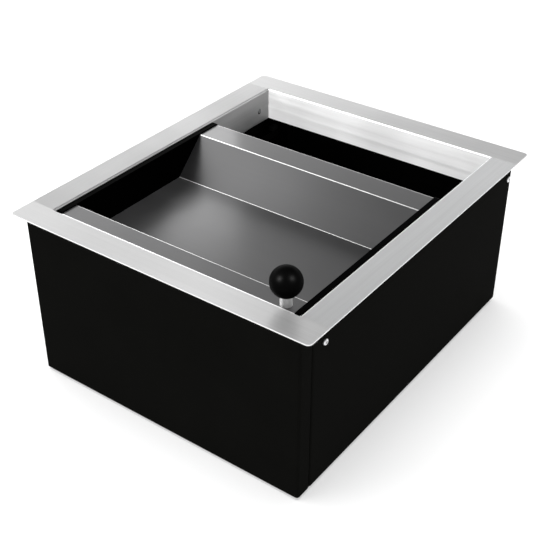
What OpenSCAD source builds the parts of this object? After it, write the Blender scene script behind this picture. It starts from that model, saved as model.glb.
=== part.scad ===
// Drop-in counter box: a folded steel housing hangs from a flanged stainless
// frame, and a dished stainless tray slides front to back inside the frame.
// +X is the right-hand side, +Y the back, +Z up.
// The origin is the middle of the footprint, on the surface the box stands on.

/* [Counter frame] */
// Width of the top flange, side to side
flange_w = 380; // [360:5:440]
// Depth of the top flange, front to back
flange_d = 444; // [430:2:500]
// Height of the flange's top face above the underside of the box
flange_h = 206; // [180:1:260]
// Width of the flange rim around the opening
rim_w = 32; // [31:0.5:38]
// Depth of the skirt below the flange's top face
skirt_drop = 41; // [37:1:42]
// Radius of the flange's outer corners
flange_corner_r = 5; // [3:0.5:8]
// Thickness of the stainless frame sheet
frame_t = 1.5; // [1.2:0.1:1.8]

/* [Housing] */
// How far the side panels stand in from the flange's side edges
side_inset = 14; // [14:0.5:17]
// How far the front and back panels stand in from the flange's edges
end_inset = 7; // [7:0.5:12]
// Thickness of the housing sheet
housing_t = 1.5; // [1.2:0.1:1.5]
// Width of the front panel's side returns
front_return = 20; // [15:1:24]
// Width of the side panels' returns on the back face
back_return = 40; // [35:1:60]
// Height of the narrow plinth that the bottom pan shows below the panels
plinth_h = 4; // [3:0.5:6]

/* [Tray] */
// Width of the folded tray sheet between its cheeks
tray_w = 300; // [280:2:302]
// How far the tray's lip and back flange lie below the frame's top face
tray_drop = 3; // [3:0.5:5]
// Depth of the dish floor below the frame's top face
dish_depth = 42.5; // [38:0.5:45]
// Depth of the front lip, front to back
lip_d = 25.5; // [24:0.5:30]
// Length of the flat dish floor, front to back
floor_d = 164; // [140:2:170]
// Horizontal run of the sloping back of the dish
slope_d = 41; // [34:0.5:44]
// Depth of the tray's back flange, front to back
back_flange_d = 34; // [28:1:38]
// Thickness of the tray sheet
tray_t = 1.2; // [1:0.1:1.5]

/* [Knob] */
// Diameter of the ball knob
ball_dia = 32; // [28:1:34]
// Height of the ball's centre above the frame's top face
ball_rise = 23; // [22:1:30]
// Diameter of the post between the ball and the lip
post_dia = 12; // [10:0.5:12]
// Diameter of the threaded stud through ball, post and lip
stud_dia = 6; // [5:0.5:6]

/* [Hidden] */

$fn = 64;
bend_steps = 8;

// Opening inside the skirt
opening_w = flange_w - 2 * rim_w;
opening_d = flange_d - 2 * rim_w;
skirt_bottom = flange_h - skirt_drop;
flange_under = flange_h - frame_t;
frame_bend_r = 1.4;

// Housing faces, as half-distances from the middle
side_outer = flange_w / 2 - side_inset;
end_outer = flange_d / 2 - end_inset;
side_inner = side_outer - housing_t;
end_inner = end_outer - housing_t;
housing_bend_r = 2.25;
seam_flange = 10;
seam_rivet_dia = 4;
seam_rivet_in = 7;
seam_rivet_levels = [45, 100, skirt_bottom + 18];
seam_y = front_return - end_outer;
seam_x = side_outer - back_return;
pan_flange_h = 15;
pan_relief = 6;

// Slide clearances between the moving tray and the fixed parts
side_gap = 1;
end_gap = 0.8;
slide_gap = 0.4;

// Tray outline, front to back
tray_front = -opening_d / 2 + end_gap;
lip_back = tray_front + lip_d;
slope_foot = lip_back + floor_d;
ridge = slope_foot + slope_d;
tray_back = ridge + back_flange_d;
tray_top = flange_h - tray_drop;
dish_floor = flange_h - dish_depth;
tray_edge_fold = 12;
tray_bend_r = 2;

// Cheeks: the plastic end plates that the tray sheet hangs between
cheek_outer = opening_w / 2 - side_gap;
cheek_inner = tray_w / 2;
cheek_top = flange_h - 1.5;
cheek_corner_r = 3;

// Guide rails that the cheeks run on
rail_t = 1.5;
rail_bend_r = 2;
rail_drop = 23.5;
rail_floor = dish_floor - rail_drop;
rail_wall_h = 21;
rail_lip_h = 8;
rail_lip_gap = 0.5;
rail_overrun = 10.5;
rail_end = opening_d / 2 + rail_overrun;
glide_t = 1.5;
cheek_bottom = rail_floor + glide_t + slide_gap;
guide_stud_dia = 4;
guide_stud_level = rail_floor + 12;
guide_stud_places = [-140, 0, 140];

// Rubber buffers at the ends of the rails
buffer_dia = 8;
buffer_level = rail_floor + 10;
buffer_screw_dia = 3.5;
buffer_screw_grip = 4.5;
buffer_x = (cheek_inner + cheek_outer) / 2;

// Screws in the side panels: set in from the front and back faces
side_screw_dia = 3.5;
side_screw_drop = 30;
side_screw_level = flange_h - side_screw_drop;
side_screw_front_in = 39;
side_screw_back_in = 10;
side_screw_places = [side_screw_front_in - end_outer, end_outer - side_screw_back_in];

// Flush rivets in the corners of the skirt
corner_rivet_dia = 4;
corner_rivet_head_h = 1.2;
corner_rivet_in = 19.5;
corner_rivet_drop = 24.5;
corner_rivet_y = opening_d / 2 - corner_rivet_in;
corner_rivet_level = flange_h - corner_rivet_drop;

// Screws that hold the cheeks to the brackets under the dish
cheek_screw_dia = 4;
cheek_screw_drop = 7.7;
cheek_screw_pitch = 60;
cheek_screw_level = dish_floor - cheek_screw_drop;
cheek_screw_places = [for (i = [0:2]) slope_foot - 20 - i * cheek_screw_pitch];

// Play of a clearance hole, and how far a cutting shape runs past the face it cuts
hole_play = 0.2;
cut = 1;

// Knob, near the right-hand end of the lip
knob_side_in = 14.6;
knob_front_in = 8.4;
knob_x = tray_w / 2 - knob_side_in;
knob_y = tray_front + knob_front_in;
ball_z = flange_h + ball_rise;
post_top = ball_z - sqrt(pow(ball_dia / 2, 2) - pow(post_dia / 2, 2));
stud_top = ball_z - 2;
washer_dia = 11;
washer_t = 1.5;
knob_nut_h = 5;
stud_bottom = tray_top - tray_t - washer_t - knob_nut_h - 2;

// ---- Folded sheet ----

// Unit vector from a to b, and its left-hand normal
function direction(a, b) = (b - a) / norm(b - a);
function left_of(d) = [-d[1], d[0]];

// Points where a bend turns from direction d0 to direction d1 at corner p:
// each entry is a point on the sheet's middle line and the normal there
function bend(p, d0, d1, r) =
    let (turn = atan2(d0[0] * d1[1] - d0[1] * d1[0], d0 * d1))
    let (side = sign(turn))
    let (start = p - d0 * r * tan(abs(turn) / 2))
    let (centre = start + left_of(d0) * side * r)
    [for (i = [0:bend_steps])
        let (a = turn * i / bend_steps)
        let (n = [left_of(d0)[0] * cos(a) - left_of(d0)[1] * sin(a),
                  left_of(d0)[0] * sin(a) + left_of(d0)[1] * cos(a)])
        [centre - n * side * r, n]];

// Outline of a sheet of thickness t whose middle line follows path, bent to radius r
function folded_outline(path, t, r) =
    let (last = len(path) - 1)
    let (spine = concat(
        [[path[0], left_of(direction(path[0], path[1]))]],
        [for (i = [1:last - 1])
            each bend(path[i], direction(path[i - 1], path[i]), direction(path[i], path[i + 1]), r)],
        [[path[last], left_of(direction(path[last - 1], path[last]))]]))
    concat(
        [for (s = spine) s[0] + s[1] * t / 2],
        [for (i = [len(spine) - 1:-1:0]) spine[i][0] - spine[i][1] * t / 2]);

module folded_sheet(path, t, r) {
    polygon(folded_outline(path, t, r));
}

// Extrusions along X of a (Y, Z) profile, and along Y of an (X, Z) profile
module along_x(length) {
    rotate([90, 0, 90]) linear_extrude(height = length, center = true) children();
}

module along_y(length) {
    rotate([90, 0, 0]) linear_extrude(height = length, center = true) children();
}

// Cylinders along X and along Y that start at the origin
module rod_x(dia, length) {
    rotate([0, 90, 0]) cylinder(d = dia, h = length);
}

module rod_y(dia, length) {
    rotate([-90, 0, 0]) cylinder(d = dia, h = length);
}

module both_sides() {
    children();
    mirror([1, 0, 0]) children();
}

module four_corners() {
    both_sides() {
        children();
        mirror([0, 1, 0]) children();
    }
}

module pan_head(dia, height) {
    cylinder(d = dia, h = height * 0.6);
    translate([0, 0, height * 0.6]) cylinder(d1 = dia, d2 = dia * 0.62, h = height * 0.4);
}

module hex_nut(bore, across_flats, height) {
    difference() {
        cylinder(d = across_flats / cos(30), h = height, $fn = 6);
        translate([0, 0, -cut]) cylinder(d = bore, h = height + 2 * cut);
    }
}

// ---- Counter frame ----

// Rail section: the flange runs outwards from the opening's edge, the skirt hangs at it
function rail_path() = [
    [rim_w, flange_h - frame_t / 2],
    [frame_t / 2, flange_h - frame_t / 2],
    [frame_t / 2, skirt_bottom]
];

module flange_corner() {
    translate([opening_w / 2, opening_d / 2, flange_under]) linear_extrude(frame_t) {
        square([rim_w, rim_w - flange_corner_r]);
        square([rim_w - flange_corner_r, rim_w]);
        translate([rim_w - flange_corner_r, rim_w - flange_corner_r]) circle(flange_corner_r);
    }
}

// Back rail: the full width of the flange, with the skirt across the opening
module end_rail() {
    translate([0, opening_d / 2, 0])
        along_x(opening_w) folded_sheet(rail_path(), frame_t, frame_bend_r);
    both_sides() {
        flange_corner();
        translate([opening_w / 2, opening_d / 2, skirt_bottom])
            cube([frame_t, frame_t, skirt_drop - frame_t - frame_bend_r]);
    }
}

// Right-hand rail: it butts against the two end rails
module side_rail() {
    difference() {
        translate([opening_w / 2, 0, 0])
            along_y(opening_d) folded_sheet(rail_path(), frame_t, frame_bend_r);
        for (y = [-corner_rivet_y, corner_rivet_y])
            translate([opening_w / 2, y, corner_rivet_level]) {
                translate([-cut, 0, 0]) rod_x(corner_rivet_dia + hole_play, frame_t + 2 * cut);
                rotate([0, 90, 0])
                    cylinder(d1 = corner_rivet_dia * 2.1, d2 = corner_rivet_dia, h = corner_rivet_head_h);
            }
    }
}

module frame_front_rail() {
    color("silver") mirror([0, 1, 0]) end_rail();
}

module frame_back_rail() {
    color("silver") end_rail();
}

module frame_left_rail() {
    color("silver") mirror([1, 0, 0]) side_rail();
}

module frame_right_rail() {
    color("silver") side_rail();
}

// Angles behind the corners of the skirt
angle_leg_y = 42;
angle_leg_x = 22;
angle_h = 28;

module corner_angle() {
    x = opening_w / 2 + frame_t;
    y = opening_d / 2 + frame_t;
    translate([x, y, corner_rivet_level - angle_h / 2]) difference() {
        union() {
            translate([0, -angle_leg_y, 0]) cube([frame_t, angle_leg_y + frame_t, angle_h]);
            translate([-angle_leg_x, 0, 0]) cube([angle_leg_x + frame_t, frame_t, angle_h]);
        }
        translate([-cut, corner_rivet_y - y, angle_h / 2])
            rod_x(corner_rivet_dia + hole_play, frame_t + 2 * cut);
    }
}

module frame_corner_angles() {
    color("silver") four_corners() corner_angle();
}

// Flush rivet: countersunk head in the skirt, shank through the angle, formed tail
module corner_rivet() {
    tail_h = 2;
    rotate([0, 90, 0]) {
        cylinder(d1 = corner_rivet_dia * 2, d2 = corner_rivet_dia * 0.9, h = corner_rivet_head_h);
        cylinder(d = corner_rivet_dia, h = 2 * frame_t + tail_h);
        translate([0, 0, 2 * frame_t]) cylinder(d = corner_rivet_dia * 1.6, h = tail_h);
    }
}

module frame_corner_rivets() {
    color("gainsboro") four_corners()
        translate([opening_w / 2, corner_rivet_y, corner_rivet_level]) corner_rivet();
}

// Angles under the flange that the side panels screw to
hanger_reach = 10.5;
hanger_drop = 37;
hanger_front_gap = 6;
hanger_back_gap = 5;

module hanger_angle() {
    front = seam_y + hanger_front_gap;
    back = end_outer - hanger_back_gap;
    path = [
        [side_inner - hanger_reach, flange_under - frame_t / 2],
        [side_inner - frame_t / 2, flange_under - frame_t / 2],
        [side_inner - frame_t / 2, flange_under - hanger_drop]
    ];
    color("silver") difference() {
        translate([0, (front + back) / 2, 0])
            along_y(back - front) folded_sheet(path, frame_t, frame_bend_r);
        for (y = side_screw_places)
            translate([side_inner - frame_t - cut, y, side_screw_level])
                rod_x(side_screw_dia + 2 * hole_play, frame_t + 2 * cut);
    }
}

module left_hanger_angle() {
    mirror([1, 0, 0]) hanger_angle();
}

module right_hanger_angle() {
    hanger_angle();
}

// ---- Housing ----

wall_h = flange_under - plinth_h;
notch_half = 3;
notch_gap = 3.5;

// Upright folded wall of the housing, from the top of the plinth to the flange
module wall(path) {
    translate([0, 0, plinth_h]) linear_extrude(wall_h) folded_sheet(path, housing_t, housing_bend_r);
}

// Holes through the front seam's inward flanges, and the notches that clear the rail and pan
module front_seam_cuts() {
    both_sides() {
        for (z = seam_rivet_levels)
            translate([side_outer - seam_rivet_in, seam_y - notch_half, z])
                rod_y(seam_rivet_dia + hole_play, 2 * notch_half);
        translate([side_inner - seam_flange - cut, seam_y - notch_half, rail_floor - rail_t - notch_gap])
            cube([seam_flange + cut, 2 * notch_half, rail_wall_h + rail_t + 2 * notch_gap]);
        translate([side_inner - seam_flange - cut, seam_y - notch_half, 0])
            cube([seam_flange + cut, 2 * notch_half, pan_flange_h + notch_gap]);
    }
}

module back_seam_cuts() {
    both_sides() {
        for (z = seam_rivet_levels)
            translate([seam_x - notch_half, end_outer - seam_rivet_in, z])
                rod_x(seam_rivet_dia + hole_play, 2 * notch_half);
        translate([seam_x - notch_half, end_inner - seam_flange - cut, 0])
            cube([2 * notch_half, seam_flange + cut, pan_flange_h + notch_gap]);
    }
}

module front_panel() {
    x = side_outer - housing_t / 2;
    y = -end_outer + housing_t / 2;
    y_seam = seam_y - housing_t / 2;
    color("#1b1c1e") difference() {
        wall([
            [x - seam_flange, y_seam], [x, y_seam], [x, y],
            [-x, y], [-x, y_seam], [-x + seam_flange, y_seam]
        ]);
        front_seam_cuts();
    }
}

module back_panel() {
    x = seam_x - housing_t / 2;
    y = end_outer - housing_t / 2;
    color("#1b1c1e") difference() {
        wall([[-x, y - seam_flange], [-x, y], [x, y], [x, y - seam_flange]]);
        back_seam_cuts();
    }
}

module side_panel() {
    x = side_outer - housing_t / 2;
    y = end_outer - housing_t / 2;
    y_seam = seam_y + housing_t / 2;
    x_seam = seam_x + housing_t / 2;
    color("#1b1c1e") difference() {
        wall([
            [x - seam_flange, y_seam], [x, y_seam], [x, y],
            [x_seam, y], [x_seam, y - seam_flange]
        ]);
        front_seam_cuts();
        back_seam_cuts();
        for (y_screw = side_screw_places)
            translate([side_inner - cut, y_screw, side_screw_level])
                rod_x(side_screw_dia + 2 * hole_play, housing_t + 2 * cut);
    }
}

module left_panel() {
    mirror([1, 0, 0]) side_panel();
}

module right_panel() {
    side_panel();
}

// Pan with four upturned flanges inside the walls, relieved at the corners
module bottom_pan() {
    x = side_inner - housing_t / 2;
    y = end_inner - housing_t / 2;
    z = housing_t / 2;
    color("#1b1c1e") {
        along_y(2 * (end_inner - pan_relief)) folded_sheet(
            [[-x, pan_flange_h], [-x, z], [x, z], [x, pan_flange_h]], housing_t, housing_bend_r);
        along_x(2 * (side_inner - pan_relief)) folded_sheet(
            [[-y, pan_flange_h], [-y, z], [y, z], [y, pan_flange_h]], housing_t, housing_bend_r);
    }
}

// Rivet through the two flanges of a seam, along +X and centred on it
module seam_rivet() {
    head_h = 1.2;
    tail_h = 1.8;
    rotate([0, 90, 0]) {
        translate([0, 0, -housing_t - head_h]) cylinder(d = seam_rivet_dia * 1.75, h = head_h);
        translate([0, 0, -housing_t]) cylinder(d = seam_rivet_dia, h = 2 * housing_t);
        translate([0, 0, housing_t]) cylinder(d = seam_rivet_dia * 1.5, h = tail_h);
    }
}

module seam_rivets() {
    color("dimgray") both_sides() for (z = seam_rivet_levels) {
        translate([side_outer - seam_rivet_in, seam_y, z]) rotate([0, 0, 90]) seam_rivet();
        translate([seam_x, end_outer - seam_rivet_in, z]) seam_rivet();
    }
}

// Pan-head screws through the side panels into clinch nuts on the hanger angles
side_screw_head_h = 2.4;
side_nut_dia = 8;
side_nut_h = 4;

module side_screw() {
    length = housing_t + frame_t + side_nut_h + 2;
    translate([side_outer, 0, 0]) {
        rotate([0, 90, 0]) pan_head(side_screw_dia * 2, side_screw_head_h);
        translate([-length, 0, 0]) rod_x(side_screw_dia, length);
    }
}

module side_screws() {
    color("gainsboro") both_sides() for (y = side_screw_places)
        translate([0, y, side_screw_level]) side_screw();
}

module side_nuts() {
    color("gainsboro") both_sides() for (y = side_screw_places)
        translate([side_inner - frame_t - side_nut_h, y, side_screw_level]) difference() {
            rod_x(side_nut_dia, side_nut_h);
            translate([-cut, 0, 0]) rod_x(side_screw_dia + hole_play, side_nut_h + 2 * cut);
        }
}

// ---- Guide rails ----

rail_lip_x = cheek_inner - rail_lip_gap - rail_t / 2;
rail_wall_x = side_inner - rail_t / 2;

module guide_rail() {
    z = rail_floor - rail_t / 2;
    path = [
        [rail_wall_x, rail_floor + rail_wall_h], [rail_wall_x, z],
        [rail_lip_x, z], [rail_lip_x, rail_floor + rail_lip_h]
    ];
    stop_w = 12;
    stop_h = 15;
    color("#1b1c1e") difference() {
        union() {
            along_y(2 * rail_end) folded_sheet(path, rail_t, rail_bend_r);
            for (side = [-1, 1])
                translate([buffer_x - stop_w / 2, side * (rail_end - rail_t / 2) - rail_t / 2, z])
                    cube([stop_w, rail_t, stop_h + rail_t / 2]);
        }
        for (y = guide_stud_places)
            translate([rail_wall_x - rail_t, y, guide_stud_level])
                rod_x(guide_stud_dia + 2 * hole_play, 2 * rail_t);
        translate([buffer_x, -rail_end - cut, buffer_level])
            rod_y(buffer_screw_dia + hole_play, 2 * (rail_end + cut));
    }
}

module left_guide_rail() {
    mirror([1, 0, 0]) guide_rail();
}

module right_guide_rail() {
    guide_rail();
}

module glide_strip() {
    glide_end = rail_end - rail_t - 6;
    color("#141414") translate([cheek_inner + side_gap, -glide_end, rail_floor])
        cube([cheek_outer - cheek_inner, 2 * glide_end, glide_t]);
}

module left_glide_strip() {
    mirror([1, 0, 0]) glide_strip();
}

module right_glide_strip() {
    glide_strip();
}

// Studs welded to the side panels, with a nut inside each rail
guide_nut_h = 3.2;

module guide_studs() {
    length = rail_t + guide_nut_h + 3;
    color("gainsboro") both_sides() for (y = guide_stud_places)
        translate([side_inner - length, y, guide_stud_level]) rod_x(guide_stud_dia, length);
}

module guide_nuts() {
    color("gainsboro") both_sides() for (y = guide_stud_places)
        translate([side_inner - rail_t - guide_nut_h, y, guide_stud_level])
            rotate([0, 90, 0]) hex_nut(guide_stud_dia + hole_play, 7, guide_nut_h);
}

// Rubber buffer on a rail's front stop: its face meets the cheek's end
module stop_buffer() {
    base = -rail_end + rail_t;
    face = tray_front - slide_gap;
    nose_h = 1;
    translate([buffer_x, base, buffer_level]) difference() {
        union() {
            rod_y(buffer_dia, face - base - nose_h);
            rod_y(buffer_dia - 2 * nose_h, face - base);
        }
        translate([0, -cut, 0]) rod_y(buffer_screw_dia, buffer_screw_grip + cut);
    }
}

module front_stop_buffers() {
    color("#101010") both_sides() stop_buffer();
}

module back_stop_buffers() {
    color("#101010") both_sides() mirror([0, 1, 0]) stop_buffer();
}

module buffer_screw() {
    translate([buffer_x, -rail_end, buffer_level]) {
        rod_y(buffer_screw_dia, rail_t + buffer_screw_grip);
        rotate([90, 0, 0]) pan_head(buffer_screw_dia * 2, 2);
    }
}

module buffer_screws() {
    color("gainsboro") four_corners() buffer_screw();
}

// ---- Sliding tray ----

module tray_pan() {
    half_t = tray_t / 2;
    path = [
        [tray_front + half_t, tray_top - tray_edge_fold],
        [tray_front + half_t, tray_top - half_t],
        [lip_back - half_t, tray_top - half_t],
        [lip_back - half_t, dish_floor - half_t],
        [slope_foot, dish_floor - half_t],
        [ridge, tray_top - half_t],
        [tray_back - half_t, tray_top - half_t],
        [tray_back - half_t, tray_top - tray_edge_fold]
    ];
    color("lightgray") difference() {
        along_x(tray_w) folded_sheet(path, tray_t, tray_bend_r);
        at_knob(tray_top - tray_t - cut) cylinder(d = stud_dia + hole_play, h = tray_t + 2 * cut);
    }
}

// End plate of the tray, with rounded top corners and countersunk screw holes
module cheek() {
    width = cheek_outer - cheek_inner;
    length = tray_back - tray_front;
    height = cheek_top - cheek_bottom;
    sink_h = 2.4;
    color("#141414") difference() {
        translate([cheek_inner, tray_front, cheek_bottom])
            rotate([90, 0, 90]) linear_extrude(width) {
                square([length, height - cheek_corner_r]);
                translate([cheek_corner_r, 0]) square([length - 2 * cheek_corner_r, height]);
                for (y = [cheek_corner_r, length - cheek_corner_r])
                    translate([y, height - cheek_corner_r]) circle(cheek_corner_r);
            }
        for (y = cheek_screw_places) translate([cheek_inner - cut, y, cheek_screw_level]) {
            rod_x(cheek_screw_dia + hole_play, width + 2 * cut);
            translate([width + cut - sink_h, 0, 0]) rotate([0, 90, 0])
                cylinder(d1 = cheek_screw_dia + hole_play, d2 = 2 * cheek_screw_dia + hole_play, h = sink_h);
        }
    }
}

module left_cheek() {
    mirror([1, 0, 0]) cheek();
}

module right_cheek() {
    cheek();
}

// Angle welded under the dish floor and screwed to the cheek
bracket_d = 140;
bracket_leg_w = 15;
bracket_leg_h = 11.5;

module tray_bracket() {
    under = dish_floor - tray_t;
    x = cheek_inner - rail_t / 2;
    z = under - rail_t / 2;
    color("silver") difference() {
        translate([0, slope_foot - 10 - bracket_d / 2, 0]) along_y(bracket_d) folded_sheet(
            [[x - bracket_leg_w, z], [x, z], [x, under - bracket_leg_h]], rail_t, rail_bend_r);
        for (y = cheek_screw_places)
            translate([x - rail_t, y, cheek_screw_level]) rod_x(cheek_screw_dia + hole_play, 2 * rail_t);
    }
}

module left_tray_bracket() {
    mirror([1, 0, 0]) tray_bracket();
}

module right_tray_bracket() {
    tray_bracket();
}

cheek_nut_h = 3.2;

module cheek_screw() {
    head_h = 2.2;
    length = cheek_outer - cheek_inner + rail_t + cheek_nut_h + 1;
    translate([cheek_outer - length, 0, 0]) rod_x(cheek_screw_dia, length);
    translate([cheek_outer - head_h, 0, 0]) rotate([0, 90, 0])
        cylinder(d1 = cheek_screw_dia, d2 = 2 * cheek_screw_dia - 0.2, h = head_h);
}

module cheek_screws() {
    color("gainsboro") both_sides() for (y = cheek_screw_places)
        translate([0, y, cheek_screw_level]) cheek_screw();
}

module cheek_nuts() {
    color("gainsboro") both_sides() for (y = cheek_screw_places)
        translate([cheek_inner - rail_t - cheek_nut_h, y, cheek_screw_level])
            rotate([0, 90, 0]) hex_nut(cheek_screw_dia + hole_play, 7, cheek_nut_h);
}

// ---- Knob ----

module at_knob(z) {
    translate([knob_x, knob_y, z]) children();
}

// Ball with a flat seat for the post and a blind hole for the stud
module knob_ball() {
    color("#0c0c0c") difference() {
        at_knob(ball_z) sphere(d = ball_dia, $fn = 96);
        at_knob(ball_z - ball_dia) cylinder(d = ball_dia, h = post_top - ball_z + ball_dia);
        at_knob(post_top - cut) cylinder(d = stud_dia + hole_play, h = stud_top - post_top + 2 * cut);
    }
}

module knob_post() {
    color("silver") difference() {
        at_knob(tray_top) cylinder(d = post_dia, h = post_top - tray_top);
        at_knob(tray_top - cut) cylinder(d = stud_dia + hole_play, h = post_top - tray_top + 2 * cut);
    }
}

module knob_stud() {
    color("gainsboro") at_knob(stud_bottom) cylinder(d = stud_dia, h = stud_top - stud_bottom);
}

module knob_washer() {
    color("gainsboro") at_knob(tray_top - tray_t - washer_t) difference() {
        cylinder(d = washer_dia, h = washer_t);
        translate([0, 0, -cut]) cylinder(d = stud_dia + hole_play, h = washer_t + 2 * cut);
    }
}

module knob_nut() {
    color("gainsboro") at_knob(tray_top - tray_t - washer_t - knob_nut_h)
        hex_nut(stud_dia + hole_play, 10, knob_nut_h);
}

frame_front_rail();
frame_back_rail();
frame_left_rail();
frame_right_rail();
frame_corner_angles();
frame_corner_rivets();
left_hanger_angle();
right_hanger_angle();
front_panel();
back_panel();
left_panel();
right_panel();
bottom_pan();
seam_rivets();
side_screws();
side_nuts();
left_guide_rail();
right_guide_rail();
left_glide_strip();
right_glide_strip();
guide_studs();
guide_nuts();
front_stop_buffers();
back_stop_buffers();
buffer_screws();
tray_pan();
left_cheek();
right_cheek();
left_tray_bracket();
right_tray_bracket();
cheek_screws();
cheek_nuts();
knob_ball();
knob_post();
knob_stud();
knob_washer();
knob_nut();
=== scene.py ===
"""Looks of the drop-in counter box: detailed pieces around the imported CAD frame, materials, light, camera."""

import math

import bmesh
import bpy
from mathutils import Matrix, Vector


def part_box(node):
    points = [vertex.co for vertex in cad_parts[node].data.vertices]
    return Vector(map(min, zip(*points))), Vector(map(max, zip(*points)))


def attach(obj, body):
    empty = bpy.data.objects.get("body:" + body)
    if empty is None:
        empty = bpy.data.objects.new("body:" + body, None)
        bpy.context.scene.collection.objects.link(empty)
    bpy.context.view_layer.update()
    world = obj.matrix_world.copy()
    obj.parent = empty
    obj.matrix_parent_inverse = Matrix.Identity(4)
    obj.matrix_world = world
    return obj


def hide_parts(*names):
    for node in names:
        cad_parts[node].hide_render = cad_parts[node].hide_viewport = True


MM = 0.001

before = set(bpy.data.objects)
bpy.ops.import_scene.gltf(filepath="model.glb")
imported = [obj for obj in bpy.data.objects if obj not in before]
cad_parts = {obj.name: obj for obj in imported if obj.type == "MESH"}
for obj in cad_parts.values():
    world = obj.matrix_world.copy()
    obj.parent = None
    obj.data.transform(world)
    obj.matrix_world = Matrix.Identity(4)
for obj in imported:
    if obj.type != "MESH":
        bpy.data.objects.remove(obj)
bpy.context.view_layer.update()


# ---- Sizes, read from the frame where a node gives them ----

# Sheets: thickness, and radius of the bends along the middle of the sheet.
FRAME_T = 1.5 * MM
FRAME_BEND = 1.4 * MM
HOUSING_T = 1.5 * MM
HOUSING_BEND = 2.25 * MM
TRAY_T = 1.2 * MM
TRAY_BEND = 2 * MM

# Outlines.
TRAY_EDGE_FOLD = 12 * MM
LIP_DEPTH = 25.5 * MM
FLOOR_DEPTH = 164 * MM
SLOPE_RUN = 41 * MM
FLANGE_CORNER_R = 5 * MM
CHEEK_CORNER_R = 3 * MM
SEAM_FLANGE = 10 * MM
PAN_FLANGE = 15 * MM
PAN_RELIEF = 6 * MM
NOTCH_HALF = 3 * MM
NOTCH_GAP = 3.5 * MM

# Fasteners and their holes.
HOLE_PLAY = 0.2 * MM
RIVET_HEAD = 1.2 * MM
RIVET_TAIL = 2 * MM
RIVET_TAIL_SPREAD = 0.8  # of the head's radius
RIVET_DOME = 0.25 * MM
SEAM_RIVET_LEVELS = (45 * MM, 100 * MM)
SEAM_RIVET_R = 2 * MM
SEAM_HEAD_R = 3.5 * MM
SEAM_RIVET_IN = 7 * MM
SCREW_LENGTH = 9 * MM
PAN_FLAT = 0.6  # of the head's radius
RECESS_FLOOR = 0.35  # of the head's height
RECESS_HALF = 0.45 * MM
RECESS_REACH = 1.9 * MM
CHEEK_SCREW_R = 2 * MM
CHEEK_SINK = 2.4 * MM

# Fineness of round shapes.
BEND_STEPS = 10
CORNER_STEPS = 8
PAN_STEPS = 8
BALL_STEPS = 44
BALL_TOP_ANGLE = 89
HOLE_SIDES = 32
RING = 64
SHARP_ANGLE = 38

# How far each kind of edge is rounded.
RAIL_EDGE = 0.28 * MM
PANEL_EDGE = 0.3 * MM
TRAY_EDGE = 0.25 * MM
CHEEK_EDGE = 0.5 * MM
BALL_EDGE = 0.2 * MM
POST_EDGE = 0.4 * MM
RIVET_EDGE = 0.1 * MM
SCREW_EDGE = 0.12 * MM
KEPT_EDGE = 0.12 * MM

front_low, front_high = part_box("frame_front_rail")
side_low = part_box("frame_right_rail")[0]
flange_x = front_high.x
flange_y = -front_low.y
flange_top = front_high.z
skirt_bottom = front_low.z
opening_x = side_low.x
opening_y = -front_high.y

tray_low, tray_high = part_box("tray_pan")
cheek_low, cheek_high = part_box("right_cheek")
panel_low, panel_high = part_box("right_panel")
front_panel_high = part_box("front_panel")[1]
back_panel_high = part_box("back_panel")[1]
pan_low, pan_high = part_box("bottom_pan")
ball_low, ball_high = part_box("knob_ball")
post_low, post_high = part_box("knob_post")
screw_low, screw_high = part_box("side_screws")
rivet_low, rivet_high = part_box("frame_corner_rivets")
seam_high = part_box("seam_rivets")[1]
stud_low, stud_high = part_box("knob_stud")
cheek_screw_low, cheek_screw_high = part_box("cheek_screws")


# ---- Meshes ----

def add_object(name, mesh):
    piece = bpy.data.objects.new(name, mesh)
    bpy.context.scene.collection.objects.link(piece)
    return piece


def from_bmesh(name, shape):
    """Object made of a bmesh. Its faces are turned outwards if its stored normals are true."""
    bmesh.ops.recalc_face_normals(shape, faces=shape.faces)
    mesh = bpy.data.meshes.new(name)
    shape.to_mesh(mesh)
    shape.free()
    return add_object(name, mesh)


def direction(start, end):
    return (end - start).normalized()


def left_of(heading):
    return Vector((-heading.y, heading.x))


def bend(corner, before, after, radius):
    """Points of the sheet's middle line, with normals, where it turns at a corner."""
    turn = math.atan2(before.x * after.y - before.y * after.x, before.dot(after))
    side = math.copysign(1, turn)
    start = corner - before * radius * math.tan(abs(turn) / 2)
    centre = start + left_of(before) * side * radius
    stations = []
    for step in range(BEND_STEPS + 1):
        angle = turn * step / BEND_STEPS
        normal = left_of(before)
        turned = Vector((
            normal.x * math.cos(angle) - normal.y * math.sin(angle),
            normal.x * math.sin(angle) + normal.y * math.cos(angle),
        ))
        stations.append((centre - turned * side * radius, turned))
    return stations


def middle_line(path, radius):
    """Stations along a folded sheet's middle line: straight runs joined by round bends."""
    points = [Vector(point) for point in path]
    stations = [(points[0], left_of(direction(points[0], points[1])))]
    for i in range(1, len(points) - 1):
        before = direction(points[i - 1], points[i])
        after = direction(points[i], points[i + 1])
        stations += bend(points[i], before, after, radius)
    stations.append((points[-1], left_of(direction(points[-2], points[-1]))))
    return stations


def place(axis, u, v, along):
    """Point in space of a profile point (u, v) at a distance along an axis."""
    if axis == "X":
        return (along, u, v)
    if axis == "Y":
        return (u, along, v)
    return (u, v, along)


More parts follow.
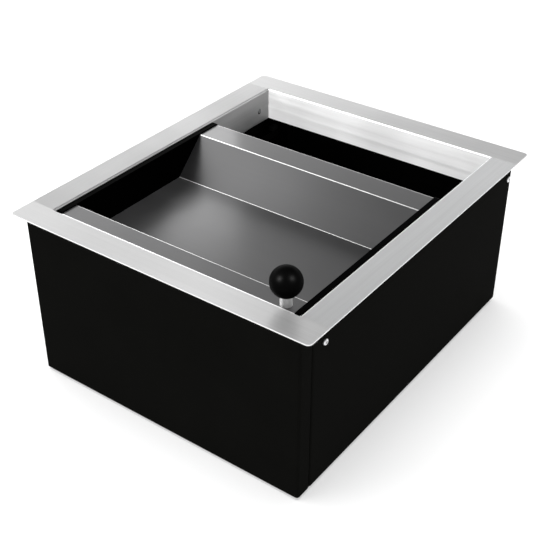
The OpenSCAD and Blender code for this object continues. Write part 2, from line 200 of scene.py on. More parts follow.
def folded_sheet(name, path, thickness, radius, axis, low, high):
    """Sheet metal folded along a path and swept along an axis, as clean strips of quads."""
    stations = middle_line(path, radius)
    shape = bmesh.new()
    rows = {}
    for side in (1, -1):
        for end in (low, high):
            row = []
            for point, normal in stations:
                edge = point + normal * side * thickness / 2
                row.append(shape.verts.new(place(axis, edge.x, edge.y, end)))
            rows[side, end] = row
    strips = [
        (rows[1, low], rows[1, high]),
        (rows[-1, low], rows[-1, high]),
        (rows[1, low], rows[-1, low]),
        (rows[1, high], rows[-1, high]),
    ]
    for first, second in strips:
        for i in range(len(stations) - 1):
            shape.faces.new((first[i], first[i + 1], second[i + 1], second[i]))
    for i in (0, -1):
        shape.faces.new((rows[1, low][i], rows[1, high][i], rows[-1, high][i], rows[-1, low][i]))
    return from_bmesh(name, shape)


def block(name, low, high):
    shape = bmesh.new()
    bmesh.ops.create_cube(shape, size=1)
    low, high = Vector(low), Vector(high)
    for vert in shape.verts:
        for axis in range(3):
            vert.co[axis] = (low[axis] + high[axis]) / 2 + vert.co[axis] * (high[axis] - low[axis])
    return from_bmesh(name, shape)


def plate(name, outline, axis, low, high):
    """Flat plate with the given outline, extruded along an axis."""
    shape = bmesh.new()
    ends = []
    for end in (low, high):
        ends.append([shape.verts.new(place(axis, u, v, end)) for u, v in outline])
        shape.faces.new(ends[-1])
    for i in range(len(outline)):
        j = (i + 1) % len(outline)
        shape.faces.new((ends[0][i], ends[0][j], ends[1][j], ends[1][i]))
    return from_bmesh(name, shape)


def turned(name, profile, origin, axis="Z", flip=False, segments=RING):
    """Solid of revolution. The profile lists (radius, height) and its ends lie on the axis."""
    shape = bmesh.new()
    sign = -1 if flip else 1
    rings = []
    for radius, height in profile:
        count = 1 if radius == 0 else segments
        ring = []
        for k in range(count):
            angle = 2 * math.pi * k / segments
            u = radius * math.cos(angle)
            v = radius * math.sin(angle)
            ring.append(shape.verts.new(Vector(place(axis, u, v, sign * height)) + Vector(origin)))
        rings.append(ring)
    for first, second in zip(rings, rings[1:]):
        for k in range(segments):
            j = (k + 1) % segments
            corners = [first[k % len(first)], first[j % len(first)]]
            corners += [second[j % len(second)], second[k % len(second)]]
            shape.faces.new(list(dict.fromkeys(corners)))
    return from_bmesh(name, shape)


def rod(name, radius, start, length, axis="Z", segments=RING):
    return turned(name, [(0, 0), (radius, 0), (radius, length), (0, length)], start, axis, False, segments)


def arc(centre, radius, start, end, steps):
    """Points on an arc in a profile plane, angles in degrees."""
    points = []
    for step in range(steps + 1):
        angle = math.radians(start + (end - start) * step / steps)
        points.append((centre[0] + radius * math.cos(angle), centre[1] + radius * math.sin(angle)))
    return points


def combine(piece, others, operation):
    """Applies a boolean of the piece with each other object, and removes the others."""
    for other in others:
        modifier = piece.modifiers.new(operation, "BOOLEAN")
        modifier.operation = operation
        modifier.solver = "EXACT"
        modifier.object = other
    graph = bpy.context.evaluated_depsgraph_get()
    mesh = bpy.data.meshes.new_from_object(piece.evaluated_get(graph))
    piece.modifiers.clear()
    piece.data = mesh
    for other in others:
        bpy.data.objects.remove(other)
    return piece


def merge(name, parts):
    """Joins separate solids into one object."""
    shape = bmesh.new()
    for part in parts:
        shape.from_mesh(part.data)
        bpy.data.objects.remove(part)
    return from_bmesh(name, shape)


def mirrored(piece, name, axis):
    """Copy of a piece mirrored across the plane x = 0 or y = 0.

    The stored normals are still those of the piece, so the copy's faces may point inwards.
    """
    shape = bmesh.new()
    shape.from_mesh(piece.data)
    for vert in shape.verts:
        vert.co[axis] = -vert.co[axis]
    return from_bmesh(name, shape)


def soften(piece, width, segments=3):
    """Rounds the sharp edges and keeps the flat faces flat in the shading."""
    for polygon in piece.data.polygons:
        polygon.use_smooth = True
    edges = piece.modifiers.new("edges", "BEVEL")
    edges.limit_method = "ANGLE"
    edges.angle_limit = math.radians(SHARP_ANGLE)
    edges.width = width
    edges.segments = segments
    piece.modifiers.new("shading", "WEIGHTED_NORMAL")
    return piece


def finish_piece(piece, body, nodes, paint, edge):
    """Rides a piece on its body in place of CAD nodes, with its finish and edge radius."""
    piece.data.materials.clear()
    piece.data.materials.append(paint)
    soften(piece, edge)
    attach(piece, body)
    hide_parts(*nodes)


# ---- Materials ----

class Nodes:
    """Adds nodes to one tree and links them."""

    def __init__(self, tree):
        self.tree = tree

    def node(self, kind, **settings):
        made = self.tree.nodes.new(kind)
        for key, value in settings.items():
            setattr(made, key, value)
        return made

    def feed(self, value, socket):
        """Links another node's output to a socket, or sets the socket's own value."""
        if isinstance(value, bpy.types.NodeSocket):
            self.tree.links.new(value, socket)
        else:
            socket.default_value = value

    def maths(self, operation, *values):
        made = self.node("ShaderNodeMath", operation=operation)
        for value, socket in zip(values, made.inputs):
            self.feed(value, socket)
        return made.outputs["Value"]

    def vectors(self, operation, result, *values):
        made = self.node("ShaderNodeVectorMath", operation=operation)
        for value, socket in zip(values, made.inputs):
            self.feed(value, socket)
        return made.outputs[result]

    def step(self, value, start, end, before=0.0, after=1.0):
        """Smooth change from one value to another between start and end."""
        ramp = self.node("ShaderNodeMapRange", interpolation_type="SMOOTHSTEP")
        for number, socket in zip((value, start, end, before, after), ramp.inputs):
            self.feed(number, socket)
        return ramp.outputs["Result"]


class Finish(Nodes):
    """Builds one procedural material around a Principled shader."""

    def __init__(self, name):
        self.material = bpy.data.materials.new(name)
        self.material.use_nodes = True
        super().__init__(self.material.node_tree)
        self.shader = self.tree.nodes["Principled BSDF"]
        self.place = self.node("ShaderNodeTexCoord").outputs["Object"]
        self.surface = self.node("ShaderNodeNewGeometry").outputs["Normal"]

    def set(self, **values):
        for key, value in values.items():
            self.shader.inputs[key.replace("_", " ")].default_value = value

    def noise(self, scale, detail=3.0, roughness=0.55):
        """Noise whose size differs by axis: scale is how many features fit in a metre."""
        stretch = self.node("ShaderNodeMapping")
        stretch.inputs["Scale"].default_value = scale
        self.feed(self.place, stretch.inputs["Vector"])
        noise = self.node("ShaderNodeTexNoise")
        noise.inputs["Scale"].default_value = 1.0
        noise.inputs["Detail"].default_value = detail
        noise.inputs["Roughness"].default_value = roughness
        self.feed(stretch.outputs["Vector"], noise.inputs["Vector"])
        return noise.outputs["Fac"]

    def spread(self, noise, low, high):
        """Maps the useful part of a noise to a range."""
        ramp = self.node("ShaderNodeMapRange")
        for number, socket in zip((noise, NOISE_LOW, NOISE_HIGH, low, high), ramp.inputs):
            self.feed(number, socket)
        return ramp.outputs["Result"]

    def shade(self, factor, first, second):
        """Mixes two colours into the base colour. The first may be another mix."""
        mix = self.node("ShaderNodeMix", data_type="RGBA")
        self.feed(factor, mix.inputs["Factor"])
        self.feed(first, mix.inputs["A"])
        self.feed(second, mix.inputs["B"])
        self.feed(mix.outputs["Result"], self.shader.inputs["Base Color"])
        return mix.outputs["Result"]

    def paint_bend_highlight(self, colour, bright):
        """Paints a highlight onto the bends: a lighter colour where the surface turns away from the flat floor,
        slope and walls.
        """
        turn = self.node("ShaderNodeSeparateXYZ")
        self.feed(self.surface, turn.inputs["Vector"])
        lean = turn.outputs["Y"]
        steep = self.maths("ABSOLUTE", lean)
        off_floor = self.step(steep, *FLOOR_LEAN)
        off_wall = self.step(steep, *WALL_LEAN, before=1.0, after=0.0)
        off_slope = self.step(lean, *SLOPE_LEAN)
        bend_highlight_mask = self.maths("MULTIPLY", self.maths("MULTIPLY", off_floor, off_wall), off_slope)
        self.shade(bend_highlight_mask, colour, bright)

    def relief(self, height, distance):
        bump = self.node("ShaderNodeBump")
        bump.inputs["Distance"].default_value = distance
        self.feed(height, bump.inputs["Height"])
        self.feed(bump.outputs["Normal"], self.shader.inputs["Normal"])

    def brushed_along(self, grain):
        """Stretches reflections across the grain."""
        across = self.vectors("CROSS_PRODUCT", "Vector", self.surface, grain)
        self.feed(across, self.shader.inputs["Tangent"])

    def ringed_round(self, axis):
        """Stretches reflections along the axis of a turned piece."""
        around = self.vectors("CROSS_PRODUCT", "Vector", self.surface, axis)
        along = self.vectors("CROSS_PRODUCT", "Vector", around, self.surface)
        self.feed(along, self.shader.inputs["Tangent"])


NOISE_LOW, NOISE_HIGH = 0.3, 0.7
GRAIN = {"X": (1, 0, 0), "Y": (0, 1, 0), "Z": (0, 0, 1)}

# Lean of the tray's surface (its normal along Y) where each flat part ends and a bend starts.
FLOOR_LEAN = (0.05, 0.2)
WALL_LEAN = (0.9, 0.98)
SLOPE_LEAN = (-0.66, -0.55)


def grain_scale(grain, across, along):
    """Noise scale with a different number of features across the grain and along it."""
    return tuple(along if part else across for part in GRAIN[grain])


def even(scale):
    """Noise scale that is the same in all directions."""
    return (scale, scale, scale)


def grey(level):
    return (level, level, level, 1)


def scaled(colour, factor):
    """The same colour, lighter or darker, and no lighter than white."""
    return tuple(min(1, part * factor) for part in colour[:3]) + (1,)


def brushed_steel(name, grain, colour, roughness, anisotropy, streak=1.0, bends=None):
    """Brushed stainless: fine streaks over slow, cloudy changes of roughness."""
    finish = Finish(name)
    finish.set(Metallic=1.0, Anisotropic=anisotropy)
    hairs = finish.noise(grain_scale(grain, across=1400, along=9), detail=4)
    streaks = finish.noise(grain_scale(grain, across=260, along=3), detail=3)
    clouds = finish.noise(even(14), detail=2)
    mixed = finish.maths("MULTIPLY", finish.maths("ADD", hairs, streaks), 0.5)
    contrast = 0.06 * streak
    dark = scaled(colour, 1 - contrast)
    light = scaled(colour, 1 + contrast)
    mottled = finish.shade(finish.spread(mixed, 0.0, 1.0), dark, light)
    # Painted highlight: a lighter colour on the bends, when one is given.
    if bends:
        finish.paint_bend_highlight(mottled, bends)
    change = 0.03 * streak
    streaked = finish.spread(streaks, roughness - change, roughness + change)
    rough = finish.maths("ADD", streaked, finish.spread(clouds, -0.025, 0.025))
    finish.feed(rough, finish.shader.inputs["Roughness"])
    finish.relief(hairs, 0.008 * MM * streak)
    finish.brushed_along(GRAIN[grain])
    return finish.material


def powder_coat(name, colour):
    """Black powder coat on the housing: a very fine orange peel, slightly cloudy sheen."""
    finish = Finish(name)
    finish.set(Specular_IOR_Level=0.008, IOR=1.2)
    peel = finish.noise(even(900), detail=2)
    clouds = finish.noise(even(18), detail=3)
    finish.shade(finish.spread(clouds, 0.0, 1.0), scaled(colour, 0.85), colour)
    finish.feed(finish.spread(clouds, 0.46, 0.56), finish.shader.inputs["Roughness"])
    finish.relief(peel, 0.03 * MM)
    return finish.material


def moulded_plastic(name, colour, roughness, specular):
    """Moulded plastic with a fine spark-eroded texture."""
    finish = Finish(name)
    finish.set(Specular_IOR_Level=specular)
    grit = finish.noise(even(1600), detail=2)
    clouds = finish.noise(even(30), detail=3)
    finish.shade(finish.spread(clouds, 0.0, 1.0), scaled(colour, 0.8), colour)
    cloudy = finish.spread(clouds, roughness - 0.04, roughness + 0.04)
    finish.feed(cloudy, finish.shader.inputs["Roughness"])
    finish.relief(grit, 0.02 * MM)
    return finish.material


def turned_metal(name, colour, roughness, axis, rings_depth=0.006 * MM, anisotropy=0.0):
    """Turned or plated metal with fine rings round its axis, which stretch reflections along it."""
    finish = Finish(name)
    finish.set(Metallic=1.0, Anisotropic=anisotropy)
    rings = finish.noise(grain_scale(axis, across=60, along=3000), detail=3)
    spots = finish.noise(even(400), detail=3)
    finish.shade(finish.spread(spots, 0.0, 1.0), scaled(colour, 0.88), colour)
    ringed = finish.spread(rings, roughness - 0.02, roughness + 0.03)
    rough = finish.maths("ADD", ringed, finish.spread(spots, 0.0, 0.03))
    finish.feed(rough, finish.shader.inputs["Roughness"])
    finish.relief(rings, rings_depth)
    if anisotropy:
        finish.ringed_round(GRAIN[axis])
    return finish.material


STEEL = grey(0.88)
# The right rail's steel, a touch darker and cooler than the rest: painted shade on that side.
SHADED_RIGHT_STEEL = (0.86, 0.865, 0.87, 1)
TRAY_STEEL = (0.19, 0.19, 0.192, 1)
HIDDEN_STEEL = (0.5, 0.5, 0.51, 1)
BLACK_COAT = (0.0052, 0.0052, 0.0047, 1)
SCREW_METAL = (0.78, 0.78, 0.79, 1)
ZINC = (0.62, 0.63, 0.65, 1)
# Lighter colour painted on the tray's bends as a highlight.
BEND_HIGHLIGHT = grey(0.9)

steel_x = brushed_steel("brushed_steel_x", "X", STEEL, 0.42, anisotropy=0.8, streak=0.75)
steel_y = brushed_steel("brushed_steel_y", "Y", STEEL, 0.42, anisotropy=0.8, streak=0.75)
# The same brushed steel with painted shade, for the right rail.
shaded_right_steel = brushed_steel("brushed_steel_right_shaded", "Y", SHADED_RIGHT_STEEL, 0.42, anisotropy=0.8, streak=0.75)
tray_steel = brushed_steel("tray_steel", "X", TRAY_STEEL, 0.33, anisotropy=0.2, streak=0.3, bends=BEND_HIGHLIGHT)
inner_steel = brushed_steel("inner_steel", "Y", HIDDEN_STEEL, 0.42, anisotropy=0.4)
black_coat = powder_coat("black_powder_coat", BLACK_COAT)
cheek_plastic = moulded_plastic("cheek_plastic", grey(0.0006), 0.34, specular=0.006)
glide_plastic = moulded_plastic("glide_plastic", grey(0.006), 0.5, specular=0.2)
ball_plastic = moulded_plastic("ball_plastic", grey(0.0003), 0.36, specular=0.01)
buffer_rubber = moulded_plastic("buffer_rubber", grey(0.010), 0.75, specular=0.2)
post_metal = turned_metal("post_metal", grey(0.80), 0.44, "Z", rings_depth=0.001 * MM, anisotropy=0.95)
screw_metal = turned_metal("screw_metal", SCREW_METAL, 0.26, "X")
zinc_metal = turned_metal("zinc_metal", ZINC, 0.34, "X")
rivet_metal = turned_metal("rivet_metal", grey(0.86), 0.25, "X")


# ---- Counter frame ----

def flange_corner(name):
    """Right-hand back corner of the flange, rounded outside."""
    outline = [(opening_x, opening_y), (flange_x, opening_y)]
    centre = (flange_x - FLANGE_CORNER_R, flange_y - FLANGE_CORNER_R)
    outline += arc(centre, FLANGE_CORNER_R, 0, 90, CORNER_STEPS)
    outline.append((opening_x, flange_y))
    return plate(name, outline, "Z", flange_top - FRAME_T, flange_top)


def rail_path(edge, rim):
    """Profile of a rail: rim inwards to the opening's edge, then down the skirt."""
    return [
        (rim, flange_top - FRAME_T / 2),
        (edge + FRAME_T / 2, flange_top - FRAME_T / 2),
        (edge + FRAME_T / 2, skirt_bottom),
    ]


def end_rail(name):
    """Back rail: the skirt spans the opening and the flange runs on to both corners."""
    rail = folded_sheet(name, rail_path(opening_y, flange_y), FRAME_T, FRAME_BEND, "X", -opening_x, opening_x)
    corner = flange_corner("corner")
    other = mirrored(corner, "other_corner", 0)
    return combine(rail, [corner, other], "UNION")


rivet_r = (rivet_high.z - rivet_low.z) / 2
rivet_y = rivet_high.y - rivet_r
rivet_z = (rivet_high.z + rivet_low.z) / 2


def side_rail(name):
    """Right rail: butts between the end rails, with a countersunk hole for each flush rivet."""
    rail = folded_sheet(name, rail_path(opening_x, flange_x), FRAME_T, FRAME_BEND, "Y", -opening_y, opening_y)
    shank = rivet_r / 2 + HOLE_PLAY
    sink = rivet_r + HOLE_PLAY
    section = [(0, -FRAME_T), (sink, -FRAME_T), (sink, 0)]
    section += [(shank, RIVET_HEAD), (shank, 2 * FRAME_T), (0, 2 * FRAME_T)]
    holes = [turned("hole", section, (opening_x, y, rivet_z), "X") for y in (-rivet_y, rivet_y)]
    return combine(rail, holes, "DIFFERENCE")


def flush_rivet(side, y):
    """Rivet with a low domed head in the countersink, a shank and a formed tail."""
    head = rivet_r - 2 * HOLE_PLAY
    shank = rivet_r / 2
    tail = RIVET_TAIL_SPREAD * rivet_r
    section = [(0, 2 * FRAME_T + RIVET_TAIL), (tail, 2 * FRAME_T + RIVET_TAIL), (tail, 2 * FRAME_T)]
    section += [(shank, 2 * FRAME_T), (shank, RIVET_HEAD), (head, 0)]
    for angle in (20, 40, 60, 80):
        turn = math.radians(angle)
        section.append((head * math.cos(turn), -RIVET_DOME * math.sin(turn)))
    section.append((0, -RIVET_DOME))
    return turned("rivet", section, (side * opening_x, y, rivet_z), "X", flip=side < 0)


back_rail = end_rail("back_rail")
front_rail = mirrored(back_rail, "front_rail", 1)
right_rail = side_rail("right_rail")
left_rail = mirrored(right_rail, "left_rail", 0)
finish_piece(back_rail, "housing", ["frame_back_rail"], steel_x, RAIL_EDGE)
finish_piece(front_rail, "housing", ["frame_front_rail"], steel_x, RAIL_EDGE)
finish_piece(right_rail, "housing", ["frame_right_rail"], shaded_right_steel, RAIL_EDGE)
finish_piece(left_rail, "housing", ["frame_left_rail"], steel_y, RAIL_EDGE)

corner_rivets = merge("flush_rivets", [flush_rivet(side, y) for side in (1, -1) for y in (-rivet_y, rivet_y)])
finish_piece(corner_rivets, "housing", ["frame_corner_rivets"], rivet_metal, RIVET_EDGE)


# ---- Housing ----

screw_r = (screw_high.z - screw_low.z) / 2
screw_z = (screw_high.z + screw_low.z) / 2
screw_head = screw_high.x - panel_high.x
screw_places = (screw_low.y + screw_r, screw_high.y - screw_r)


def side_screw(side, y):
    """Pan-head screw with a cross recess."""
    shank = screw_r / 2
    section = [(0, -SCREW_LENGTH), (shank, -SCREW_LENGTH), (shank, 0), (screw_r, 0)]
    for step in range(PAN_STEPS + 1):
        angle = math.radians(90 * step / PAN_STEPS)
        radius = screw_r * (PAN_FLAT + (1 - PAN_FLAT) * math.cos(angle))
        section.append((radius, screw_head * (1 + math.sin(angle)) / 2))
    section.append((0, screw_head))
    seat = panel_high.x * side
    screw = turned("screw", section, (seat, y, screw_z), "X", flip=side < 0)
    recess_floor = seat + side * screw_head * RECESS_FLOOR
    above_head = seat + side * (screw_head + MM)
    ends = (min(recess_floor, above_head), max(recess_floor, above_head))
    arms = []
    for across, up in ((RECESS_HALF, RECESS_REACH), (RECESS_REACH, RECESS_HALF)):
        arms.append(block("arm", (ends[0], y - across, screw_z - up), (ends[1], y + across, screw_z + up)))
    return combine(screw, arms, "DIFFERENCE")


side_screws = merge("side_pan_screws", [side_screw(side, y) for side in (1, -1) for y in screw_places])
finish_piece(side_screws, "housing", ["side_screws"], screw_metal, SCREW_EDGE)


wall_bottom, wall_top = panel_low.z, panel_high.z
side_x = panel_high.x - HOUSING_T / 2
end_y = panel_high.y - HOUSING_T / 2
seam_y = front_panel_high.y
seam_x = back_panel_high.x


def wall(name, path):
    return folded_sheet(name, path, HOUSING_T, HOUSING_BEND, "Z", wall_bottom, wall_top)


front_panel = wall("front_shell", [
    (side_x - SEAM_FLANGE, seam_y - HOUSING_T / 2),
    (side_x, seam_y - HOUSING_T / 2),
    (side_x, -end_y),
    (-side_x, -end_y),
    (-side_x, seam_y - HOUSING_T / 2),
    (-side_x + SEAM_FLANGE, seam_y - HOUSING_T / 2),
])
back_panel = wall("back_shell", [
    (-seam_x + HOUSING_T / 2, end_y - SEAM_FLANGE),
    (-seam_x + HOUSING_T / 2, end_y),
    (seam_x - HOUSING_T / 2, end_y),
    (seam_x - HOUSING_T / 2, end_y - SEAM_FLANGE),
])
right_panel = wall("right_shell", [
    (side_x - SEAM_FLANGE, seam_y + HOUSING_T / 2),
    (side_x, seam_y + HOUSING_T / 2),
    (side_x, end_y),
    (seam_x + HOUSING_T / 2, end_y),
    (seam_x + HOUSING_T / 2, end_y - SEAM_FLANGE),
])

seam_levels = SEAM_RIVET_LEVELS + (seam_high.z - SEAM_HEAD_R,)


def seam_cuts():
    """Rivet holes and notches of the right-hand front and back seams, and the screw holes."""
    inner_x = panel_high.x - HOUSING_T
    inner_y = panel_high.y - HOUSING_T
    rail_low, rail_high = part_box("right_guide_rail")
    reach = SEAM_FLANGE + MM
    half = NOTCH_HALF
    gap = NOTCH_GAP
    rivet_x = panel_high.x - SEAM_RIVET_IN
    rivet_back = panel_high.y - SEAM_RIVET_IN
    hole = SEAM_RIVET_R + HOLE_PLAY / 2
    cuts = []
    for z in seam_levels:
        cuts.append(rod("cut", hole, (rivet_x, seam_y - half, z), 2 * half, "Y", HOLE_SIDES))
        cuts.append(rod("cut", hole, (seam_x - half, rivet_back, z), 2 * half, "X", HOLE_SIDES))
    for bottom, top in ((0, pan_high.z + gap), (rail_low.z - gap, rail_high.z + gap)):
        cuts.append(block("cut", (inner_x - reach, seam_y - half, bottom), (inner_x, seam_y + half, top)))
    cuts.append(block("cut", (seam_x - half, inner_y - reach, 0), (seam_x + half, inner_y, pan_high.z + gap)))
    screw_hole = screw_r / 2 + HOLE_PLAY
    through = HOUSING_T + 2 * MM
    for y in screw_places:
        cuts.append(rod("cut", screw_hole, (inner_x - MM, y, screw_z), through, "X", HOLE_SIDES))
    return cuts


def both_sides(pieces):
    """The right-hand cuts and their mirror images."""
    return pieces + [mirrored(piece, "cut", 0) for piece in pieces]


combine(front_panel, both_sides(seam_cuts()), "DIFFERENCE")
combine(back_panel, both_sides(seam_cuts()), "DIFFERENCE")
combine(right_panel, seam_cuts(), "DIFFERENCE")
left_panel = mirrored(right_panel, "left_shell", 0)

for panel, node in (
    (front_panel, "front_panel"),
    (back_panel, "back_panel"),
    (right_panel, "right_panel"),
    (left_panel, "left_panel"),
):
    finish_piece(panel, "housing", [node], black_coat, PANEL_EDGE)


def pan_path(half_width):
    """Profile of the pan across its width: a flange up at each side."""
    middle = half_width - HOUSING_T / 2
    bottom = pan_low.z + HOUSING_T / 2
    top = pan_low.z + PAN_FLANGE
    return [(-middle, top), (-middle, bottom), (middle, bottom), (middle, top)]


pan_x, pan_y = pan_high.x, pan_high.y
bottom_pan = folded_sheet("bottom_shell", pan_path(pan_x), HOUSING_T, HOUSING_BEND, "Y",
                          -pan_y + PAN_RELIEF, pan_y - PAN_RELIEF)
cross_pan = folded_sheet("cross_pan", pan_path(pan_y), HOUSING_T, HOUSING_BEND, "X",
                         -pan_x + PAN_RELIEF, pan_x - PAN_RELIEF)
combine(bottom_pan, [cross_pan], "UNION")
finish_piece(bottom_pan, "housing", ["bottom_pan"], black_coat, PANEL_EDGE)


# ---- Tray ----

half_t = TRAY_T / 2
lip_back = tray_low.y + LIP_DEPTH
slope_foot = lip_back + FLOOR_DEPTH
ridge = slope_foot + SLOPE_RUN
tray_top = tray_high.z
dish_floor = tray_low.z + TRAY_T

tray = folded_sheet("tray_sheet", [
    (tray_low.y + half_t, tray_top - TRAY_EDGE_FOLD),
    (tray_low.y + half_t, tray_top - half_t),
    (lip_back - half_t, tray_top - half_t),
    (lip_back - half_t, dish_floor - half_t),
    (slope_foot, dish_floor - half_t),
    (ridge, tray_top - half_t),
    (tray_high.y - half_t, tray_top - half_t),
    (tray_high.y - half_t, tray_top - TRAY_EDGE_FOLD),
], TRAY_T, TRAY_BEND, "X", tray_low.x, tray_high.x)
stud_r = (stud_high.x - stud_low.x) / 2
stud_middle = (stud_low + stud_high) / 2
below_lip = (stud_middle.x, stud_middle.y, tray_top - 3 * TRAY_T)
stud_hole = rod("hole", stud_r + HOLE_PLAY / 2, below_lip, 4 * TRAY_T)
combine(tray, [stud_hole], "DIFFERENCE")
finish_piece(tray, "tray", ["tray_pan"], tray_steel, TRAY_EDGE)


def cheek_outline():
    """Side view of a cheek, with its two upper corners rounded."""
    front, back, bottom, top = cheek_low.y, cheek_high.y, cheek_low.z, cheek_high.z
    r = CHEEK_CORNER_R
    outline = [(front, bottom), (back, bottom)]
    outline += arc((back - r, top - r), r, 0, 90, CORNER_STEPS)
    outline += arc((front + r, top - r), r, 90, 180, CORNER_STEPS)
    return outline


cheek_screw_z = (cheek_screw_low.z + cheek_screw_high.z) / 2
cheek_head_r = (cheek_screw_high.z - cheek_screw_low.z) / 2


def cheek_screw_hole(y):
    """Through hole with a countersink in the outer face."""
    shank = CHEEK_SCREW_R + HOLE_PLAY / 2
    sink = cheek_head_r + HOLE_PLAY
    end = cheek_low.x - cheek_high.x - MM
    section = [(0, MM), (sink, MM), (sink, 0), (shank, -CHEEK_SINK), (shank, end), (0, end)]
    return turned("hole", section, (cheek_high.x, y, cheek_screw_z), "X")


right_cheek = plate("right_end_plate", cheek_outline(), "X", cheek_low.x, cheek_high.x)
first_y = cheek_screw_low.y + cheek_head_r
last_y = cheek_screw_high.y - cheek_head_r
combine(right_cheek, [cheek_screw_hole(y) for y in (first_y, (first_y + last_y) / 2, last_y)], "DIFFERENCE")
left_cheek = mirrored(right_cheek, "left_end_plate", 0)
finish_piece(right_cheek, "tray", ["right_cheek"], cheek_plastic, CHEEK_EDGE)
finish_piece(left_cheek, "tray", ["left_cheek"], cheek_plastic, CHEEK_EDGE)


# ---- Knob ----

knob_centre = (ball_low + ball_high) / 2
ball_r = (ball_high.x - ball_low.x) / 2
ball_z = ball_high.z - ball_r
post_r = (post_high.x - post_low.x) / 2
seat_angle = math.degrees(math.atan2(ball_low.z - ball_z, post_r))

ball_profile = [(0, ball_low.z)]
ball_profile += arc((0, ball_z), ball_r, seat_angle, BALL_TOP_ANGLE, BALL_STEPS)
ball_profile.append((0, ball_high.z))
ball = turned("ball", ball_profile, (knob_centre.x, knob_centre.y, 0))
finish_piece(ball, "tray", ["knob_ball"], ball_plastic, BALL_EDGE)

post = rod("post", post_r, (knob_centre.x, knob_centre.y, post_low.z), post_high.z - post_low.z)
finish_piece(post, "tray", ["knob_post"], post_metal, POST_EDGE)


# ---- CAD nodes that keep their shape ----

KEPT = {
    "frame_corner_angles": inner_steel,
    "left_hanger_angle": inner_steel,
    "right_hanger_angle": inner_steel,
    "seam_rivets": black_coat,
    "side_nuts": zinc_metal,
    "left_guide_rail": black_coat,
    "right_guide_rail": black_coat,
    "left_glide_strip": glide_plastic,
    "right_glide_strip": glide_plastic,
    "guide_studs": zinc_metal,
    "guide_nuts": zinc_metal,
    "front_stop_buffers": buffer_rubber,
    "back_stop_buffers": buffer_rubber,
    "buffer_screws": zinc_metal,
    "left_tray_bracket": inner_steel,
    "right_tray_bracket": inner_steel,
    "cheek_screws": zinc_metal,
    "cheek_nuts": zinc_metal,
    "knob_stud": zinc_metal,
    "knob_washer": zinc_metal,
    "knob_nut": zinc_metal,
}
for name, paint in KEPT.items():
    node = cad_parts[name]
    node.data.materials.clear()
    node.data.materials.append(paint)
    soften(node, KEPT_EDGE, 2)


# ---- Floor, light and camera ----

FLOOR_SIZE = 50.0
FLOOR_T = 0.02
floor = block("floor", (-FLOOR_SIZE / 2, -FLOOR_SIZE / 2, -FLOOR_T), (FLOOR_SIZE / 2, FLOOR_SIZE / 2, 0))
paper = Finish("paper")
paper.set(Roughness=0.9, Specular_IOR_Level=0.1, Emission_Color=(1, 1, 1, 1), Emission_Strength=0.42)
paper.shade(paper.noise(even(3)), grey(0.54), grey(0.56))
floor.data.materials.append(paper.material)

MIDDLE = (0, 0, 0.15)
FRONT_RAIL_RIGHT_END = (0.12, -0.20, 0.206)
DISH_FLOOR_LEFT = (-0.09, -0.035, 0.164)
SLOPE_LEFT = (-0.12, 0.02, 0.185)


def softbox(name, towards, distance, size, strength, lit, target=MIDDLE, shadows=False):
    """Rectangular soft light that lights only some pieces, from a direction as seen from its target.

    Without shadows, no other piece comes between the light and the pieces it lights.
    """
    lamp = bpy.data.lights.new(name, "AREA")
    lamp.shape = "RECTANGLE"
    lamp.size, lamp.size_y = size
    lamp.energy = strength
    made = bpy.data.objects.new(name, lamp)
    bpy.context.scene.collection.objects.link(made)
    away = Vector(towards).normalized()
    made.location = Vector(target) + away * distance
    made.rotation_euler = (-away).to_track_quat("-Z", "Y").to_euler()
    receivers = bpy.data.collections.new(name + "_lights")
    for piece in lit:
        receivers.objects.link(piece)
    made.light_linking.receiver_collection = receivers
    if not shadows:
        made.light_linking.blocker_collection = receivers
    made.visible_camera = False


# Large lights: two highlights on the ball, the back skirt, the floor and the tray's steel.
softbox("front_softbox", (-0.28, -0.74, 0.60), 2.2, (0.7, 0.7), 230, [ball])
softbox("right_softbox", (0.73, -0.05, 0.68), 2.2, (0.7, 0.7), 170, [ball])
softbox("back_rail_light", (-0.46, -0.77, 0.44), 2.4, (1.8, 1.4), 52, [back_rail])
softbox("paper_light", (-0.12, -0.05, 0.99), 1.7, (2.0, 2.0), 64, [floor], shadows=True)
softbox("ridge_light", (-0.50, 0.15, 0.85), 2.2, (0.9, 0.9), 7, [tray])

# Small near lights, each for one spot.
softbox("front_rail_light", (-0.50, 0.15, 0.85), 0.5, (0.3, 0.3), 0.24, [front_rail], FRONT_RAIL_RIGHT_END)
softbox("floor_light", (-0.56, 0.65, 0.51), 0.17, (0.10, 0.10), 0.034, [tray], DISH_FLOOR_LEFT)
softbox("slope_light", (-0.45, -0.46, 0.76), 0.3, (0.2, 0.2), 0.08, [tray], SLOPE_LEFT)

# The studio: a white sweep that fades to a dark ceiling (heights are sines of elevation), twice
# as bright to the left as elsewhere, and a soft pool of light on the ceiling at the front left.
SWEEP_TOP, CEILING_FROM = 0.42, 0.57
SWEEP_LIGHT, CEILING_LIGHT = 1.35, 0.15
LEFT_LIGHT, MIDDLE_LIGHT, RIGHT_LIGHT = 1.5, 0.75, 0.80
LEFT_END, MIDDLE_START = -0.64, -0.40
MIDDLE_END, RIGHT_START = -0.10, 0.30
POOL_TOWARDS = (-0.68, -0.41, 0.61)
POOL_EDGE, POOL_CORE = 0.90, 1.0
POOL_LIGHT = 0.6


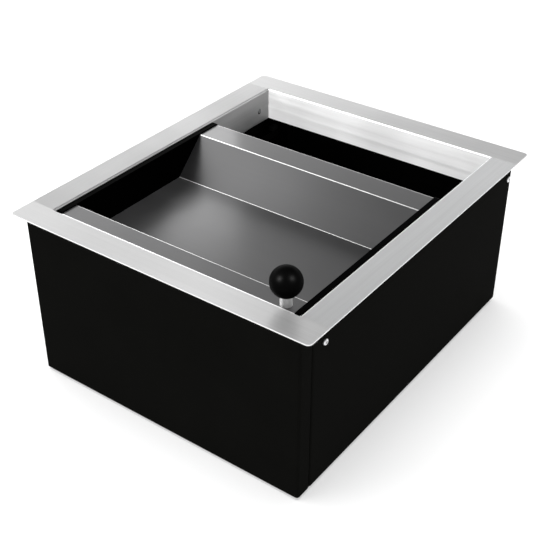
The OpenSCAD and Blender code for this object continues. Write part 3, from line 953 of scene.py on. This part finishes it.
class Studio(Nodes):
    """Builds the strength of the world's light from its direction."""

    def __init__(self):
        world = bpy.data.worlds.new("studio")
        bpy.context.scene.world = world
        world.use_nodes = True
        super().__init__(world.node_tree)
        self.background = self.tree.nodes["Background"]
        self.background.inputs["Color"].default_value = (1, 1, 1, 1)
        self.towards = self.node("ShaderNodeTexCoord").outputs["Generated"]

    def along(self, axis):
        """How far the direction points along an axis, from -1 to 1."""
        return self.vectors("DOT_PRODUCT", "Value", self.towards, axis)


studio = Studio()
height = studio.along((0, 0, 1))
sweep = studio.step(height, SWEEP_TOP, CEILING_FROM, SWEEP_LIGHT, CEILING_LIGHT)
across = studio.along((1, 0, 0))
left = studio.step(across, LEFT_END, MIDDLE_START, LEFT_LIGHT, MIDDLE_LIGHT)
right = studio.step(across, MIDDLE_END, RIGHT_START, 0, RIGHT_LIGHT - MIDDLE_LIGHT)
side = studio.maths("ADD", left, right)
pool = studio.step(studio.along(POOL_TOWARDS), POOL_EDGE, POOL_CORE, 0, POOL_LIGHT)
strength = studio.maths("ADD", studio.maths("MULTIPLY", sweep, side), pool)
studio.feed(strength, studio.background.inputs["Strength"])

CAMERA_TARGET = Vector((0.0121, -0.0382, 0.1153))
CAMERA_DISTANCE = 1.18
CAMERA_AZIMUTH = 36.33
CAMERA_ELEVATION = 33.94
CAMERA_LENS = 70.43
SENSOR_WIDTH = 36

azimuth = math.radians(CAMERA_AZIMUTH)
elevation = math.radians(CAMERA_ELEVATION)
back = Vector((
    math.sin(azimuth) * math.cos(elevation),
    -math.cos(azimuth) * math.cos(elevation),
    math.sin(elevation),
))
camera_data = bpy.data.cameras.new("camera")
camera_data.lens = CAMERA_LENS
camera_data.sensor_width = SENSOR_WIDTH
camera = bpy.data.objects.new("camera", camera_data)
bpy.context.scene.collection.objects.link(camera)
camera.location = CAMERA_TARGET + back * CAMERA_DISTANCE
camera.rotation_euler = (-back).to_track_quat("-Z", "Y").to_euler()
bpy.context.scene.camera = camera
bpy.context.scene.view_settings.view_transform = "Standard"
